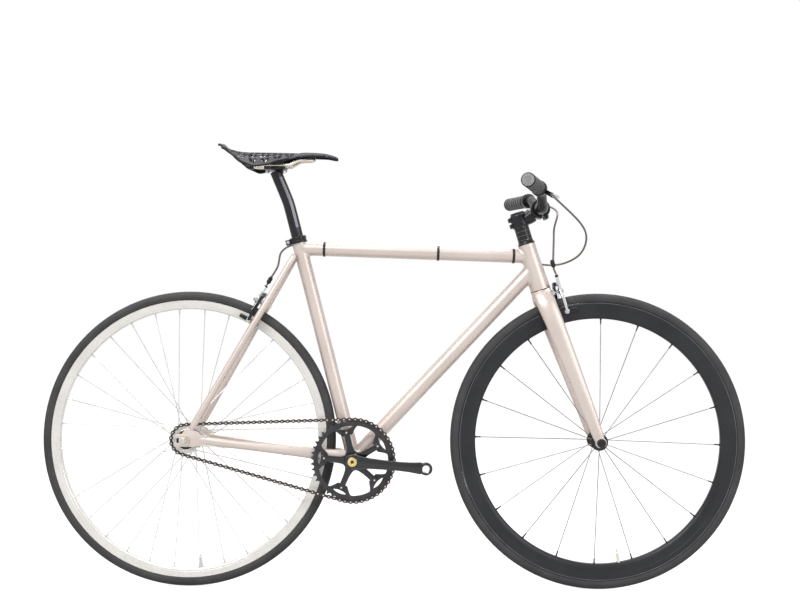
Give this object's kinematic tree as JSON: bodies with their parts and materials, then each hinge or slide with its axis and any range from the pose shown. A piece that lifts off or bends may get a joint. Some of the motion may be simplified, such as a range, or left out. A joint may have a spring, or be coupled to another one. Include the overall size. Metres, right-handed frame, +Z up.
{
  "type": "single-speed bicycle",
  "caption": "Single-speed bicycle with a raw metal frame, flat riser bar, rim brakes, deep black front wheel and box-section rear wheel, without pedals.",
  "frame": {"origin": "on the ground in the middle plane, halfway between the wheel axles", "axes": "+X forward, +Y to the left, away from the drive side, +Z up"},
  "size_m": [1.6044, 0.5222, 1.0122],
  "materials": {
    "raw_metal": "satin champagne grey",
    "black_metal": "satin black",
    "silver": "polished",
    "gunmetal": "dark anodised",
    "bronze_steel": "oiled dark bronze",
    "carbon": "gloss black",
    "tyre_rubber": "matte",
    "grip_rubber": "ribbed matte",
    "housing": "satin brown grey",
    "black_plastic": "matte",
    "pale_rail": "pale satin"
  },
  "bodies": {
    "frame": {"head_tube": "raw_metal", "top_tube": "raw_metal", "down_tube": "raw_metal", "seat_tube": "raw_metal", "bottom_bracket_shell": "raw_metal", "chainstay_right": "raw_metal", "chainstay_left": "raw_metal", "seatstay_right": "raw_metal", "seatstay_left": "raw_metal", "brake_bridge": "raw_metal", "bottom_bracket_unit": "black_metal", "seat_collar": "black_metal", "cable_clip_rear": "black_plastic", "cable_clip_middle": "black_plastic", "cable_clip_front": "black_plastic", "rear_brake_cable": "housing", "rear_brake_loop": "housing", "rear_caliper_bolt": "silver", "rear_axle": "silver", "axle_nut_right": "silver", "axle_nut_left": "silver", "chain": "bronze_steel", "headset_bearing_upper": "silver", "headset_bearing_lower": "silver"},
    "seat": {"seatpost": "black_metal", "saddle_clamp": "black_metal", "saddle_rails": "pale_rail", "saddle_shell": "carbon"},
    "steering": {"fork": "raw_metal", "headset_cover": "black_metal", "headset_spacers": "black_metal", "stem": "black_metal", "stem_faceplate": "black_metal", "top_cap": "black_metal", "handlebar": "black_metal", "grip_right": "grip_rubber", "grip_left": "grip_rubber", "lever_bracket_right": "black_metal", "lever_bracket_left": "black_metal", "front_brake_cable": "housing", "front_caliper_bolt": "silver", "front_axle": "black_metal"},
    "quick_release": {"quick_release_lever": "silver"},
    "front_wheel": {"front_hub": "black_metal", "front_rim": "carbon", "front_tyre": "tyre_rubber"},
    "rear_wheel": {"rear_hub": "silver", "rear_rim": "silver", "rear_tyre": "tyre_rubber"},
    "freewheel": {"freewheel_cog": "silver"},
    "cranks": {"bottom_bracket_spindle": "silver", "crank_right": "black_metal", "chainring": "gunmetal", "crank_left": "black_metal"},
    "lever_right": {"brake_lever_right": "silver"},
    "lever_left": {"brake_lever_left": "silver"},
    "front_arm_cable": {"front_brake_arm_cable": "silver"},
    "front_arm_far": {"front_brake_arm_far": "silver"},
    "rear_arm_cable": {"rear_brake_arm_cable": "silver"},
    "rear_arm_far": {"rear_brake_arm_far": "silver"}
  },
  "joints": [
    {"name": "steering_turn", "type": "hinge", "parent": "frame", "child": "steering", "pos_m": [0.44374, 0, 0.32909], "axis": [-0.294, 0, 0.9558], "range_deg": [-50, 50], "deforming": ["rear_brake_loop"]},
    {"name": "seatpost_height", "type": "slide", "parent": "frame", "child": "seat", "axis": [-0.2538, 0, 0.9673], "range_m": [-0.05, 0.04]},
    {"name": "front_wheel_spin", "type": "hinge", "parent": "steering", "child": "front_wheel", "pos_m": [0.4662, 0, 0.336], "axis": [0, 1, 0], "continuous": true},
    {"name": "rear_wheel_spin", "type": "hinge", "parent": "frame", "child": "rear_wheel", "pos_m": [-0.4662, 0, 0.336], "axis": [0, 1, 0], "continuous": true},
    {"name": "crank_spin", "type": "hinge", "parent": "frame", "child": "cranks", "pos_m": [-0.08916, 0, 0.2915], "axis": [0, 1, 0], "continuous": true, "deforming": ["chain"]},
    {"name": "freewheel_spin", "type": "hinge", "parent": "frame", "child": "freewheel", "pos_m": [-0.4662, 0, 0.336], "axis": [0, 1, 0], "continuous": true},
    {"name": "quick_release_turn", "type": "hinge", "parent": "steering", "child": "quick_release", "pos_m": [0.4662, 0.0701, 0.336], "axis": [-0.9558, 0, -0.294], "range_deg": [0, 165]},
    {"name": "brake_lever_right_pull", "type": "hinge", "parent": "steering", "child": "lever_right", "pos_m": [0.34454, -0.13973, 0.88319], "axis": [-0.4669, 0.1052, -0.8781], "range_deg": [0, 18], "stiffness_Nm_per_rad": 0.4, "springref_deg": -28.65},
    {"name": "brake_lever_left_pull", "type": "hinge", "parent": "steering", "child": "lever_left", "pos_m": [0.34454, 0.13973, 0.88319], "axis": [0.4669, 0.1052, 0.8781], "range_deg": [0, 18], "stiffness_Nm_per_rad": 0.4, "springref_deg": -28.65},
    {"name": "front_brake_arm_cable_turn", "type": "hinge", "parent": "steering", "child": "front_arm_cable", "pos_m": [0.3627, 0, 0.67244], "axis": [0.9558, 0, 0.294], "range_deg": [0, 2.2]},
    {"name": "front_brake_arm_far_turn", "type": "hinge", "parent": "steering", "child": "front_arm_far", "pos_m": [0.36211, 0.02, 0.67435], "axis": [-0.9558, 0, -0.294], "range_deg": [0, 2.2]},
    {"name": "rear_brake_arm_cable_turn", "type": "hinge", "parent": "frame", "child": "rear_arm_cable", "pos_m": [-0.29838, 0, 0.64551], "axis": [-0.869, 0, 0.4948], "range_deg": [0, 2.2]},
    {"name": "rear_brake_arm_far_turn", "type": "hinge", "parent": "frame", "child": "rear_arm_far", "pos_m": [-0.29739, -0.02, 0.64724], "axis": [0.869, 0, -0.4948], "range_deg": [0, 2.2]}
  ],
  "couplings": [
    {"joint": "freewheel_spin", "follows": "crank_spin", "ratio": 2.7059},
    {"joint": "front_brake_arm_cable_turn", "follows": "brake_lever_left_pull", "ratio": 0.12},
    {"joint": "front_brake_arm_far_turn", "follows": "brake_lever_left_pull", "ratio": 0.12},
    {"joint": "rear_brake_arm_cable_turn", "follows": "brake_lever_right_pull", "ratio": 0.12},
    {"joint": "rear_brake_arm_far_turn", "follows": "brake_lever_right_pull", "ratio": 0.12}
  ]
}
